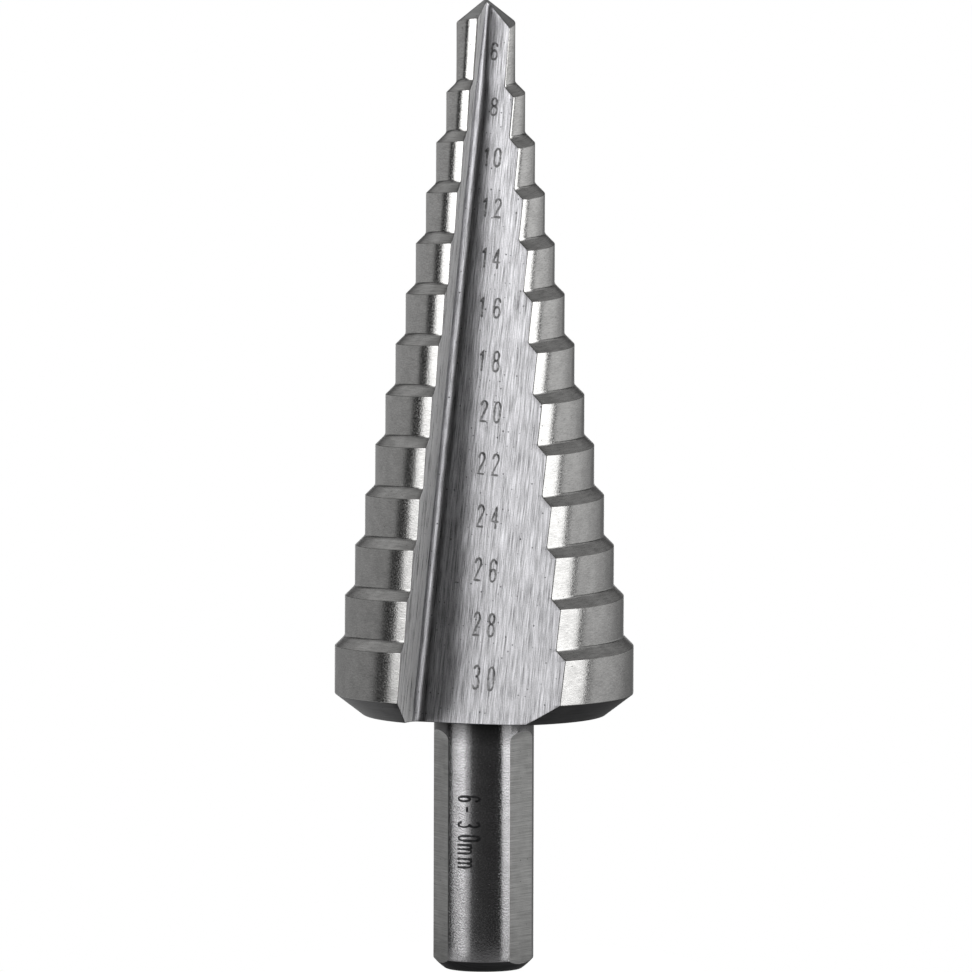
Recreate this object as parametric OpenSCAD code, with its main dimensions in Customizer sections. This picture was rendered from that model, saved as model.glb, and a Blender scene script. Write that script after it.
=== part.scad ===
// Step drill, ground in one piece from a bar of high-speed steel.
// The origin is the middle of the shank's end, +Z runs up the axis to the point,
// and -Y is the side that shows one flute from edge to edge.
// Angles about the axis are counted from -Y, anticlockwise as seen from the point,
// which is also the way the drill turns when it cuts.

/* [Steps] */
// Diameter of the smallest step
first_d = 6; // [5:0.5:8]
// Diameter that each step adds to the one before it
step_grow = 2; // [1.5:0.25:2.5]
// Number of steps
step_count = 13; // [8:1:15]
// Height from one step's chamfer to the next
step_pitch = 5.03; // [4.5:0.01:7]
// Height of the smallest step, from the shoulder of the point to its chamfer
first_land = 6; // [5:0.1:9]
// Height of the largest step, from its chamfer to the bevel at the back
last_land = 4.6; // [3:0.1:8]
// Angle between a step's chamfer and the axis
chamfer_angle = 45; // [40:1:50]

/* [Lands] */
// Drop of every chamfer from its cutting edge to its heel
land_drop = 0.9; // [0.5:0.05:1.2]
// Fall of every land's radius from its cutting edge to its heel
land_clearance = 0.14; // [0.06:0.02:0.3]

/* [Point] */
// Included angle of the point, at the middle of its flanks
point_angle = 100; // [90:1:120]
// Tilt of each flank behind its lip
flank_tilt = 8.5; // [6:0.5:10]

/* [Flutes] */
// Depth of a flute's root below the largest step, at the back
flute_depth = 5.93; // [5:0.1:7]
// Distance by which each root passes the axis at the point
web_half = 0.24; // [0.2:0.02:0.5]
// Angle between a flute's rake wall and the radius through its root
rake_angle = 34; // [28:1:38]
// Angle between a flute's broad wall and the radius through its root
broad_angle = 114; // [108:1:120]
// Radius ground in the root
root_r = 0.5; // [0.3:0.1:0.8]
// Angle about the axis at which the first root comes out at the back
root_angle = -50.5; // [-90:0.5:90]

/* [Back] */
// Width of the bevel round the back, across the radius
bevel_w = 2.9; // [1.5:0.1:4]
// Height of the bevel
bevel_h = 2.2; // [1:0.1:4]
// Fall of the back face towards the shank, in degrees
back_fall = 2.5; // [1:0.5:5]

/* [Shank] */
// Diameter of the shank
shank_d = 10; // [8:0.5:12]
// Length of the shank, from its end to the rim of the back face
shank_l = 25.5; // [20:0.5:40]
// Length of the shank that stays round above its flats
collar_l = 2.35; // [2:0.05:4]
// Number of flats
flat_count = 3; // [3:1:6]
// Depth of each flat
flat_depth = 0.35; // [0.2:0.05:0.5]
// Radius at which the wheel leaves each flat
runout_r = 1.5; // [0.8:0.1:2.5]
// Angle about the axis of the middle of the first flat
flat_angle = 53; // [0:1:119]
// Width of the crowned chamfer round the shank's end, across the radius
end_chamfer = 1.2; // [0.5:0.1:2]
// Angle between that chamfer's chord and the axis
end_angle = 48; // [40:1:55]
// Radius between the shank and the back face
neck_r = 0.25; // [0.15:0.05:0.5]

/* [Hidden] */
$fn = 144;

// Sizes of the steps
first_r = first_d / 2;
step_w = step_grow / 2;
last_r = first_r + (step_count - 1) * step_w;
point_h = (first_r - land_clearance / 2) / tan(point_angle / 2);
chamfer_h = step_w / tan(chamfer_angle);

// Heights along the axis
back_z = shank_l;
bevel_z = back_z + bevel_h;
last_z = bevel_z + last_land;
tip_z = last_z + chamfer_h + (step_count - 2) * step_pitch + first_land + point_h;
head_h = tip_z - back_z;

// The flutes: where their walls meet the largest step, counted from the root
root_back = last_r - flute_depth;
root_lean = atan(root_back / head_h);
edge_turn = rake_angle - asin(root_back * sin(rake_angle) / last_r);
heel_turn = broad_angle - asin(root_back * sin(broad_angle) / last_r);

// The lands: half their span, the angle of their middle and the way they lead
half_span = 90 - (heel_turn - edge_turn) / 2;
land_turn = root_angle + edge_turn - half_span;
drop_shift = land_drop / (2 * sin(half_span)) * tan(chamfer_angle);
clear_shift = land_clearance / (2 * sin(half_span));
clear_inset = land_clearance / 2;

// The two lands meet in the web, on a plane that runs out through both flutes
meet_turn = root_angle + (rake_angle + heel_turn) / 2;

// What cuts reaches past what is cut by this much
over = 1;
reach = 2 * last_r;
arc_steps = 8;

function step_r(i) = first_r + i * step_w;
// Height of the lower edge of chamfer i, where step i begins
function step_z(i) = last_z + (step_count - 1 - i) * step_pitch;
// Points of an arc about [x, y], from angle a to angle b
function arc(x, y, r, a, b) =
    [for (k = [0 : arc_steps])
        let (t = a + (b - a) * k / arc_steps)
            [x + r * cos(t), y + r * sin(t)]];

// Turns its children from +X to an angle about the axis
module at_turn(a) {
    rotate([0, 0, a - 90]) children();
}

// The smallest step's cone, tilted so that it stands highest at the lip
module flank() {
    reach_h = point_h + first_land + 2 * over;
    translate([0, 0, tip_z])
        rotate([flank_tilt, 0, 0])
            translate([0, 0, -reach_h])
                cylinder(h = reach_h, r1 = reach_h * tan(point_angle / 2), r2 = 0);
}

// A step's chamfer, set off its axis so that it falls from the cutting edge to the heel
module chamfer(i) {
    low_z = i == step_count - 1 ? back_z - 2 * over : step_z(i + 1);
    top_r = step_r(i - 1) - drop_shift - clear_shift - clear_inset - over / 4;
    low_r = step_r(i) + (step_z(i) - low_z) * tan(chamfer_angle);
    top_z = step_z(i) + (step_r(i) - top_r) / tan(chamfer_angle);
    translate([0, drop_shift, low_z])
        cylinder(h = top_z - low_z, r1 = low_r, r2 = top_r);
}

// One step of one land, its middle on +X
module land_step(i) {
    low_z = i == step_count - 1 ? back_z - over : step_z(i + 1) - over / 2;
    top_z = i == 0 ? tip_z + over : step_z(i) + chamfer_h + 2 * over;
    intersection() {
        translate([0, clear_shift, low_z])
            cylinder(h = top_z - low_z, r = step_r(i) - clear_inset);
        if (i == 0)
            flank();
        else
            chamfer(i);
    }
}

// All the steps of one land, on its own side of the axis
module land() {
    intersection() {
        at_turn(land_turn)
            union() {
                for (i = [0 : step_count - 1])
                    land_step(i);
            }
        at_turn(meet_turn)
            translate([-reach, -reach, back_z - over])
                cube([2 * reach, reach, head_h + 2 * over]);
    }
}

// What one flute's wheel takes out: two walls and a round root, drawn out along the root
module flute() {
    mid = (rake_angle + broad_angle) / 2;
    half = (broad_angle - rake_angle) / 2;
    centre = root_r / sin(half);
    far = 3 * last_r;
    section = concat(
        arc(centre * cos(mid), centre * sin(mid), root_r, broad_angle + 90, rake_angle + 270),
        [[far * cos(rake_angle), far * sin(rake_angle)],
         [far * cos(mid), far * sin(mid)],
         [far * cos(broad_angle), far * sin(broad_angle)]]
    );
    at_turn(root_angle)
        translate([0, web_half, tip_z])
            rotate([0, -root_lean, 0])
                translate([0, 0, -head_h - 4 * over])
                    linear_extrude(height = head_h + 6 * over)
                        polygon(section);
}

// The back of the head: a bevel round the rim, and a face that falls to the shank
module back_form() {
    rim_r = last_r - bevel_w;
    slope = bevel_h / bevel_w;
    rotate_extrude()
        polygon([
            [0, back_z - rim_r * tan(back_fall)],
            [rim_r, back_z],
            [last_r + over, bevel_z + over * slope],
            [last_r + over, tip_z + over],
            [0, tip_z + over],
        ]);
}

module head() {
    difference() {
        intersection() {
            union() {
                land();
                rotate([0, 0, 180]) land();
            }
            back_form();
        }
        flute();
        rotate([0, 0, 180]) flute();
    }
}

// One ground flat, its middle on +X, with the wheel's radius at its upper end
module flat_cut() {
    face_r = shank_d / 2 - flat_depth;
    flat_z = shank_l - collar_l;
    section = concat(
        [[face_r, -over]],
        arc(face_r + runout_r, flat_z, runout_r, 180, 90),
        [[shank_d, flat_z + runout_r], [shank_d, -over]]
    );
    rotate([90, 0, 0])
        linear_extrude(height = 2 * shank_d, center = true)
            polygon(section);
}

// A ball about the axis whose surface is the crowned chamfer, with a tall core above it
module end_form() {
    shank_r = shank_d / 2;
    end_r = shank_r - end_chamfer;
    end_h = end_chamfer / tan(end_angle);
    ball_z = (shank_r * shank_r + end_h * end_h - end_r * end_r) / (2 * end_h);
    ball_r = norm([end_r, ball_z]);
    translate([0, 0, ball_z]) sphere(r = ball_r);
    translate([0, 0, ball_z]) cylinder(h = shank_l, r = ball_r);
}

module shank() {
    shank_r = shank_d / 2;
    neck_z = back_z - (last_r - bevel_w - shank_r) * tan(back_fall);
    difference() {
        intersection() {
            rotate_extrude()
                polygon(concat(
                    [[0, 0], [shank_r, 0]],
                    arc(shank_r + neck_r, neck_z - neck_r, neck_r, 180, 90),
                    [[shank_r + neck_r, back_z], [0, back_z]]
                ));
            end_form();
        }
        for (k = [0 : flat_count - 1])
            at_turn(flat_angle + k * 360 / flat_count)
                flat_cut();
    }
}

module step_drill_bit() {
    color("silver")
        union() {
            head();
            shank();
        }
}

step_drill_bit();
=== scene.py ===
"""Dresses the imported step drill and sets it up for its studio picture.

The drill is one piece of high-speed steel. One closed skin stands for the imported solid. It is worked
out from the same forms that the grinding wheels leave, so that every land, chamfer, flute wall and
flank keeps its own finish. Lengths are millimetres until a mesh is handed over. +Z runs up the axis
to the point, and angles are counted anticlockwise as seen from the point.
"""

import logging
import math
from dataclasses import dataclass, field
from enum import IntEnum
from typing import Callable, NamedTuple

import bmesh
import bpy
import numpy as np
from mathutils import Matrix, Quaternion, Vector


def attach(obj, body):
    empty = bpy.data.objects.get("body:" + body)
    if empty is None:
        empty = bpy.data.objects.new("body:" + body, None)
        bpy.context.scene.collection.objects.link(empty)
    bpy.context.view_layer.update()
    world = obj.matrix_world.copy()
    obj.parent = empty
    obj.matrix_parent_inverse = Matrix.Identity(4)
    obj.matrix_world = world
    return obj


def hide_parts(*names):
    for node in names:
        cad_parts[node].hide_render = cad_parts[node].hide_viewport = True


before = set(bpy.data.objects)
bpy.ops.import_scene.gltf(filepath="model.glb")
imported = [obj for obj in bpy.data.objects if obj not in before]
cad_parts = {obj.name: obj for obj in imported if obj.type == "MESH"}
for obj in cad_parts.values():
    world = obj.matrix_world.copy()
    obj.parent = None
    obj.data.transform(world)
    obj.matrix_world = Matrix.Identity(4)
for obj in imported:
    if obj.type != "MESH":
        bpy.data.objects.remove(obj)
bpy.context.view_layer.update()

LOG = logging.getLogger("step_drill")
MM = 0.001
BODY = "root"
NODE = "step_drill_bit"
GROUND_UV = "ground"

# Points of the skin that lie closer than this are one point
WELD = 0.0005
# Halvings that bring a search down to rounding
HALVINGS = 46
# Ends of a stroke that lie closer than this close it
TOUCH = 1e-6

# What a search brings to nought, a row's points at an angle, and flat points laid on the steel
Rule = Callable[[np.ndarray], np.ndarray]
Row = Callable[[np.ndarray], np.ndarray]
Lay = Callable[[np.ndarray], np.ndarray]
# A corner's distance from the axis and its height at an angle, and a face's height in plan
Corner = Callable[[np.ndarray], tuple[np.ndarray, np.ndarray]]
Height = Callable[[np.ndarray, np.ndarray], np.ndarray]
# Two ends, the points of a line, and azimuths with their levels
Span = tuple[float, float]
Stroke = list[tuple[float, float]]
Levels = tuple[tuple[float, float], ...]
Socket = bpy.types.NodeSocket


class Surface(IntEnum):
    """The surfaces of the bit that each have a finish of their own."""

    LAND = 0
    CHAMFER = 1
    FLUTE = 2
    FLANK = 3
    TURNED = 4
    SHANK = 5
    FLAT = 6
    RAKE = 7
    MARK = 8
    RANGE = 9


def turned(points: np.ndarray, angle: float) -> np.ndarray:
    """Turns points about the axis.

    Args:
        points: any array of points, its last side being x, y and z.
        angle: how far to turn them, in radians.

    Returns:
        The turned points, in the same layout.
    """
    c, s = math.cos(angle), math.sin(angle)
    x, y, z = np.moveaxis(np.asarray(points, float), -1, 0)
    return np.stack([c * x - s * y, s * x + c * y, z], axis=-1)


def polar(radius: np.ndarray, angle: np.ndarray, height: np.ndarray) -> np.ndarray:
    """Points from their distance from the axis, their angle about it and their height."""
    radius, angle, height = np.broadcast_arrays(radius, angle, height)
    return np.stack([radius * np.cos(angle), radius * np.sin(angle), height], axis=-1)


def unit(vectors: np.ndarray) -> np.ndarray:
    """The vectors at length one, and vectors of no length left as they are."""
    length = np.linalg.norm(vectors, axis=-1, keepdims=True)
    return vectors / np.where(length > 0, length, 1)


def smooth(share: np.ndarray) -> np.ndarray:
    """A share from 0 to 1 that starts and ends gently."""
    return share * share * (3 - 2 * share)


def root_of(rule: Rule, low: np.ndarray, high: np.ndarray) -> np.ndarray:
    """Finds where a rule changes sign, by halving.

    Args:
        rule: a function of an array that has opposite signs at low and high.
        low: the lower ends of the search.
        high: the upper ends of the search.

    Returns:
        The places where the rule is nought, one for each entry.
    """
    low = np.array(low, float)
    high = np.array(high, float)
    start = np.sign(rule(low))
    for _ in range(HALVINGS):
        middle = (low + high) / 2
        same = np.sign(rule(middle)) == start
        low = np.where(same, middle, low)
        high = np.where(same, high, middle)
    return (low + high) / 2


def new_mesh(name: str, points: np.ndarray, faces: list, ground: np.ndarray) -> bpy.types.Mesh:
    """Makes a mesh in metres, with its distances along the grinding as a UV map.

    Args:
        name: the mesh's name.
        points: its points, in millimetres.
        faces: the numbers of the points round each face.
        ground: each point's distances across and along the grinding marks.

    Returns:
        The mesh.
    """
    mesh = bpy.data.meshes.new(name)
    mesh.from_pydata((points * MM).tolist(), [], faces)
    corners = np.empty(len(mesh.loops), np.int32)
    mesh.loops.foreach_get("vertex_index", corners)
    layer = mesh.uv_layers.new(name=GROUND_UV)
    layer.data.foreach_set("uv", ground[corners].reshape(-1).astype(np.float32))
    return mesh


def settle(mesh: bpy.types.Mesh, weld: float = 0.0) -> int:
    """Turns a mesh's faces outward, after joining points that lie close together.

    Args:
        mesh: the mesh to change.
        weld: how close points are to be joined, in metres, or 0 to join none.

    Returns:
        How many edges don't lie between two faces.
    """
    work = bmesh.new()
    work.from_mesh(mesh)
    if weld:
        bmesh.ops.remove_doubles(work, verts=work.verts, dist=weld)
        bmesh.ops.dissolve_degenerate(work, edges=work.edges, dist=weld)
    bmesh.ops.recalc_face_normals(work, faces=work.faces)
    open_edges = sum(not edge.is_manifold for edge in work.edges)
    work.to_mesh(mesh)
    work.free()
    return open_edges


def rounded(before: np.ndarray, corner: np.ndarray, after: np.ndarray) -> np.ndarray:
    """The middle of a rounded edge, between the ends of its rounding and its sharp corner."""
    return (before + 2 * corner + after) / 4


def put(data: bpy.types.ID) -> bpy.types.Object:
    """Puts a mesh, a lamp or a camera into the scene.

    Args:
        data: what to put there.

    Returns:
        The object that holds it, which has the same name.
    """
    thing = bpy.data.objects.new(data.name, data)
    bpy.context.scene.collection.objects.link(thing)
    return thing


@dataclass
class Skin:
    """A skin put together from sheets of points that share their borders."""

    points: list[np.ndarray] = field(default_factory=list)
    quads: list[np.ndarray] = field(default_factory=list)
    ground: list[np.ndarray] = field(default_factory=list)
    surfaces: list[np.ndarray] = field(default_factory=list)
    count: int = 0

    def add(self, grid: np.ndarray, ground: np.ndarray, surface: np.ndarray | Surface) -> None:
        """Adds a sheet, whose rows go down and whose columns go anticlockwise.

        Args:
            grid: rows by columns of points.
            ground: rows by columns of distances across and along the grinding marks.
            surface: the surface of the whole sheet, or of each strip between two rows.
        """
        rows, columns = grid.shape[:2]
        index = self.count + np.arange(rows * columns).reshape(rows, columns)
        corners = (index[1:, :-1], index[1:, 1:], index[:-1, 1:], index[:-1, :-1])
        self.quads.append(np.stack(corners, axis=-1).reshape(-1, 4))
        self.points.append(grid.reshape(-1, 3))
        self.ground.append(ground.reshape(-1, 2))
        kinds = np.broadcast_to(np.asarray(surface), (rows - 1,))
        self.surfaces.append(np.repeat(kinds, columns - 1))
        self.count += rows * columns

    def mesh(self, name: str) -> bpy.types.Mesh:
        """Makes one closed mesh of the sheets, each face with its surface's finish.

        Args:
            name: the mesh's name.

        Returns:
            The mesh, in metres.
        """
        quads = np.concatenate(self.quads).tolist()
        mesh = new_mesh(name, np.concatenate(self.points), quads, np.concatenate(self.ground))
        mesh.polygons.foreach_set("material_index", np.concatenate(self.surfaces).astype(np.int32))
        open_edges = settle(mesh, WELD * MM)
        LOG.info("%s: %d faces, %d open edges", name, len(mesh.polygons), open_edges)
        return mesh


@dataclass
class StepForm:
    """The stepped lands, their chamfers and the point, about the middle of one land.

    The ramp is the pair of angles, in degrees, between which one flank passes into the other.
    """

    first_r: float = 3.0
    step_w: float = 1.0
    step_count: int = 13
    step_pitch: float = 5.03
    first_land: float = 6.0
    last_land: float = 4.6
    land_drop: float = 0.9
    land_clearance: float = 0.14
    point_half: float = math.radians(50)
    flank_tilt: float = math.radians(8.5)
    tip_blunt: float = 0.05
    ramp: Span = (92.0, 148.0)
    back_z: float = 25.5
    bevel_w: float = 2.9
    bevel_h: float = 2.2
    back_fall: float = math.radians(2.5)
    half_span: float = 0.0

    @property
    def last_r(self) -> float:
        """Radius of the largest step."""
        return self.first_r + (self.step_count - 1) * self.step_w

    @property
    def rim_r(self) -> float:
        """Radius of the rim between the bevel and the back face."""
        return self.last_r - self.bevel_w

    @property
    def last_z(self) -> float:
        """Height at which the largest step begins."""
        return self.back_z + self.bevel_h + self.last_land

    @property
    def tip_z(self) -> float:
        """Height of the point."""
        point_h = (self.first_r - self.land_clearance / 2) / math.tan(self.point_half)
        return self.last_z + self.step_w + (self.step_count - 2) * self.step_pitch + self.first_land + point_h

    @property
    def drop_shift(self) -> float:
        """How far each chamfer's cone is set off the axis, so that it falls to the heel."""
        return self.land_drop / (2 * math.sin(self.half_span))

    @property
    def clear_shift(self) -> float:
        """How far each land's cylinder is set off the axis, so that it clears the hole."""
        return self.land_clearance / (2 * math.sin(self.half_span))

    def land_r(self, step: int, angle: np.ndarray) -> np.ndarray:
        """Distance of a land from the axis.

        Args:
            step: the land's number, counted from the point.
            angle: angles from the land's middle.

        Returns:
            The distance at each angle.
        """
        radius = self.first_r + step * self.step_w - self.land_clearance / 2
        across = self.clear_shift * np.cos(angle)
        return self.clear_shift * np.sin(angle) + np.sqrt(radius**2 - across**2)

    def chamfer_z(self, step: int, radius: np.ndarray, angle: np.ndarray) -> np.ndarray:
        """Height of a chamfer at a place in plan.

        Args:
            step: the number of the step below the chamfer.
            radius: distances from the axis.
            angle: angles from the land's middle.

        Returns:
            The height at each place.
        """
        step_r = self.first_r + step * self.step_w
        step_z = self.last_z + (self.step_count - 1 - step) * self.step_pitch
        off = np.hypot(radius * np.cos(angle), radius * np.sin(angle) - self.drop_shift)
        return step_z + step_r - off

    def cone_drop(self, x: np.ndarray, y: np.ndarray) -> np.ndarray:
        """Drop of one flank's tilted cone below the point.

        Args:
            x: places in plan along the land's middle.
            y: places in plan across it.

        Returns:
            The drop at each place.
        """
        c, s, k = math.cos(self.flank_tilt), math.sin(self.flank_tilt), math.cos(self.point_half)
        spread = c * c - k * k
        inside = (y * s * c) ** 2 - spread * (y * y * s * s - k * k * (x * x + y * y))
        return (np.sqrt(np.maximum(inside, 0)) - y * s * c) / spread

    def flank_z(self, x: np.ndarray, y: np.ndarray) -> np.ndarray:
        """Height of the point's surface: each land's own cone, with a ramp across each flute.

        Args:
            x: places in plan along the land's middle.
            y: places in plan across it.

        Returns:
            The height at each place.
        """
        first, last = self.ramp
        past = np.degrees(np.arctan2(y, x)) - first
        share = smooth(np.clip(np.mod(past, 180) / (last - first), 0, 1))
        beyond = np.where(np.mod(past, 360) < 180, share, 1 - share)
        drop = (1 - beyond) * self.cone_drop(x, y) + beyond * self.cone_drop(-x, -y)
        return self.tip_z - np.sqrt(drop**2 + self.tip_blunt**2)

    def back_surface_z(self, radius: np.ndarray) -> np.ndarray:
        """Height of the bevel and the back face.

        Args:
            radius: distances from the axis.

        Returns:
            The height at each distance.
        """
        bevel = self.back_z + (radius - self.rim_r) * self.bevel_h / self.bevel_w
        face = self.back_z + (radius - self.rim_r) * math.tan(self.back_fall)
        return np.where(radius > self.rim_r, bevel, face)


@dataclass
class FluteForm:
    """One flute: two flat walls and a round root, drawn out along a leaning root line."""

    depth: float = 5.93
    web_half: float = 0.24
    rake: float = math.radians(34)
    broad: float = math.radians(114)
    root_r: float = 0.5
    root_wide: float = 1.2
    wide_from: float = 2.5
    wide_over: float = 9.0
    last_r: float = 15.0
    tip_z: float = 97.0
    head_h: float = 71.5

    def __post_init__(self) -> None:
        """Works out the frame of the root line, about the middle of the land behind the flute."""
        root_back = self.last_r - self.depth
        lean = math.atan(root_back / self.head_h)
        self.edge_turn = self.rake - math.asin(root_back * math.sin(self.rake) / self.last_r)
        self.heel_turn = self.broad - math.asin(root_back * math.sin(self.broad) / self.last_r)
        self.half_span = math.pi / 2 - (self.heel_turn - self.edge_turn) / 2
        self.turn = self.half_span - self.edge_turn
        self.across = turned([math.cos(lean), 0, math.sin(lean)], self.turn)
        self.aside = turned([0, 1, 0], self.turn)
        self.along = turned([-math.sin(lean), 0, math.cos(lean)], self.turn)
        self.start = turned([0, self.web_half, self.tip_z], self.turn)
        self.rake_normal = np.cross(self.along, self.wall(self.rake))
        self.broad_normal = np.cross(self.along, self.wall(self.broad))
        self.half = (self.broad - self.rake) / 2

    def root_radius(self, z: float) -> float:
        """Radius of the root at a height: small at the point, and full a little below it."""
        share = min(max((self.tip_z - self.wide_from - z) / self.wide_over, 0), 1)
        return self.root_r + (self.root_wide - self.root_r) * smooth(share)

    def wall(self, angle: float) -> np.ndarray:
        """The direction of a wall, square to the root line."""
        return math.cos(angle) * self.across + math.sin(angle) * self.aside

    def section(self, points: np.ndarray) -> np.ndarray:
        """Points as distances across, aside and along the root line."""
        return (points - self.start) @ np.stack([self.across, self.aside, self.along]).T

    def place(self, section: np.ndarray) -> np.ndarray:
        """The reverse of section."""
        return self.start + section @ np.stack([self.across, self.aside, self.along])

    def at_height(self, u: np.ndarray, v: np.ndarray, z: np.ndarray) -> np.ndarray:
        """Points at places in the section, at given heights.

        Args:
            u: distances across the root line.
            v: distances aside from it.
            z: heights on the axis.

        Returns:
            The points.
        """
        t = (z - self.start[2] - u * self.across[2]) / self.along[2]
        u, v, t = np.broadcast_arrays(u, v, t)
        return self.place(np.stack([u, v, t], axis=-1))

    def root_points(self, z_rake: float, z_broad: float, steps: int) -> np.ndarray:
        """Points round the root, from the rake wall to the broad wall.

        Args:
            z_rake: height of the first point.
            z_broad: height of the last point.
            steps: how many pieces the arc has.

        Returns:
            steps + 1 points.
        """
        share = np.linspace(0, 1, steps + 1)
        radius = self.root_radius((z_rake + z_broad) / 2)
        centre = radius / math.sin(self.half)
        middle = (self.rake + self.broad) / 2
        first, last = self.rake + 1.5 * math.pi, self.broad + 0.5 * math.pi
        angle = first + share * (last - first)
        u = centre * math.cos(middle) + radius * np.cos(angle)
        v = centre * math.sin(middle) + radius * np.sin(angle)
        return self.at_height(u, v, z_rake + share * (z_broad - z_rake))


class Loop(NamedTuple):
    """One row of the skin, from a heel over the land and through the flute ahead."""

    land: np.ndarray
    heel_mid: np.ndarray
    edge_mid: np.ndarray
    wall: np.ndarray


@dataclass
class DrillBit:
    """The whole bit as one closed skin: point, stepped lands, flutes, back and shank.

    Each search is the span in which an edge is looked for: in degrees from the land's middle for the
    cutting edge and the heel, in shares of the wall for the rim, and in millimetres for a run-out.
    """

    edge_round: float = 0.06
    root_round: float = 0.6
    root_angle: float = math.radians(-50.5)
    land_columns: int = 45
    bevel_columns: int = 3
    wall_columns: int = 5
    arc_columns: int = 8
    rake_arc_columns: int = 1
    fillet_rows: int = 4
    patch_rows: int = 8
    ring_rows: int = 4
    neck_rows: int = 4
    end_rows: int = 5
    edge_search: Span = (35.0, 110.0)
    heel_search: Span = (-85.0, -5.0)
    rim_search: Span = (0.45, 1.05)
    run_search: Span = (-0.5, 14.0)
    straighten: float = 1.5
    dip_from: int = 6
    back_dip: float = 1.8
    dip_power: int = 6
    shank_r: float = 5.0
    shank_lead: float = 1.0
    neck_r: float = 0.25
    flat_count: int = 3
    flat_depth: float = 0.35
    flat_angle: float = math.radians(53)
    collar_l: float = 2.35
    runout_r: float = 1.5
    runout_points: int = 17
    cutter_below: float = 1.0
    cutter_reach: float = 9.0
    cutter_half: float = 6.0
    end_chamfer: float = 1.2
    end_angle: float = math.radians(48)
    sharp_angle: float = math.radians(38)
    face_weight: int = 100

    def __post_init__(self) -> None:
        """Works out the forms that the skin is cut from."""
        steps = StepForm()
        self.flute = FluteForm(last_r=steps.last_r, tip_z=steps.tip_z, head_h=steps.tip_z - steps.back_z)
        steps.half_span = self.flute.half_span
        self.steps = steps
        self.land_turn = self.root_angle + self.flute.edge_turn - self.flute.half_span - math.pi / 2
        self.skin = Skin()

    def row(self, corner: Corner, out: float, up: float) -> Row:
        """A row of a land's grid, which follows a corner of its profile.

        Args:
            corner: the corner's distance from the axis and its height, at an angle.
            out: how far the row lies outside the corner.
            up: how far it lies above the corner.

        Returns:
            The row's points, at an angle.
        """

        def points(angle: np.ndarray) -> np.ndarray:
            """The row's points at an angle."""
            radius, height = corner(angle)
            return polar(radius + out, angle, height + up)

        return points

    def flank_corner(self, inside: float) -> Corner:
        """The line on the flank that lies inside the smallest land.

        Args:
            inside: how far inside it lies.

        Returns:
            The function that follows it.
        """

        def corner(angle: np.ndarray) -> tuple[np.ndarray, np.ndarray]:
            """The line's distance from the axis and its height, at an angle."""
            radius = self.steps.land_r(0, angle) - inside
            return radius, self.steps.flank_z(radius * np.cos(angle), radius * np.sin(angle))

        return corner

    def chamfer_corner(self, step: int, land: int) -> Corner:
        """The corner between a step's chamfer and the land above or below it.

        Args:
            step: the number of the step below the chamfer.
            land: the land's number.

        Returns:
            The function that follows it.
        """

        def corner(angle: np.ndarray) -> tuple[np.ndarray, np.ndarray]:
            """The corner's distance from the axis and its height, at an angle."""
            radius = self.steps.land_r(land, angle)
            return radius, self.steps.chamfer_z(step, radius, angle)

        return corner

    def back_corner(self, angle: np.ndarray) -> tuple[np.ndarray, np.ndarray]:
        """The corner between the largest land and the bevel, at an angle."""
        radius = self.steps.land_r(self.steps.step_count - 1, angle)
        return radius, self.steps.back_surface_z(radius)

    def land_rows(self) -> tuple[list[Row], list[Surface]]:
        """The rows of one land from the point to the bevel.

        Returns:
            The rows, and the surface of the strip between each two of them.
        """
        steps, b = self.steps, self.edge_round
        slant = b * math.sqrt(0.5)
        shoulder = self.flank_corner(0.0)
        rows = [self.row(self.flank_corner(b * math.sin(steps.point_half)), 0, 0)]
        rows += [self.row(shoulder, -b / 4, -b / 4), self.row(shoulder, 0, -b)]
        surfaces = [Surface.FLANK, Surface.LAND, Surface.LAND]
        half_fillet = self.fillet_rows // 2
        for step in range(1, steps.step_count):
            rows += self.chamfer_rows(step)
            surfaces += [Surface.LAND] * half_fillet
            surfaces += [Surface.CHAMFER] * (self.fillet_rows - half_fillet + 2)
            surfaces += [Surface.LAND] * 2
        rows += [self.row(self.back_corner, 0, b), self.row(self.back_corner, -b / 4, b / 8)]
        rows += [self.row(self.back_corner, -slant, -slant * steps.bevel_h / steps.bevel_w)]
        surfaces += [Surface.LAND, Surface.TURNED]
        return rows, surfaces

    def chamfer_rows(self, step: int) -> list[Row]:
        """The rows of one chamfer: the fillet above it, its face and its rounded lower edge.

        Args:
            step: the number of the step below the chamfer.

        Returns:
            The rows, downward.
        """
        slant = self.edge_round * math.sqrt(0.5)
        inner = self.chamfer_corner(step, step - 1)
        outer = self.chamfer_corner(step, step)
        rows = []
        reach = self.root_round * math.tan(math.pi / 8)
        for k in range(self.fillet_rows + 1):
            turn = k / self.fillet_rows * math.pi / 4
            out = self.root_round * (1 - math.cos(turn))
            up = reach - self.root_round * math.sin(turn)
            rows.append(self.row(inner, out, up))
        for out, up in ((-slant, slant), (-slant / 4, 0), (0, -self.edge_round)):
            rows.append(self.row(outer, out, up))
        return rows

    def wall_angle(self, row: Row, turn: float, normal: np.ndarray, search: Span) -> float:
        """Angle at which a row meets a wall of a flute.

        Args:
            row: the row.
            turn: how far the row's land is turned, to lie beside the flute.
            normal: the wall's normal.
            search: the span of angles to look in, in degrees.

        Returns:
            The angle, from the land's middle.
        """

        def rule(angle: np.ndarray) -> np.ndarray:
            """Distance from the wall at an angle."""
            return (turned(row(angle), turn) - self.flute.start) @ normal

        return float(root_of(rule, *np.radians(search)))

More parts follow.
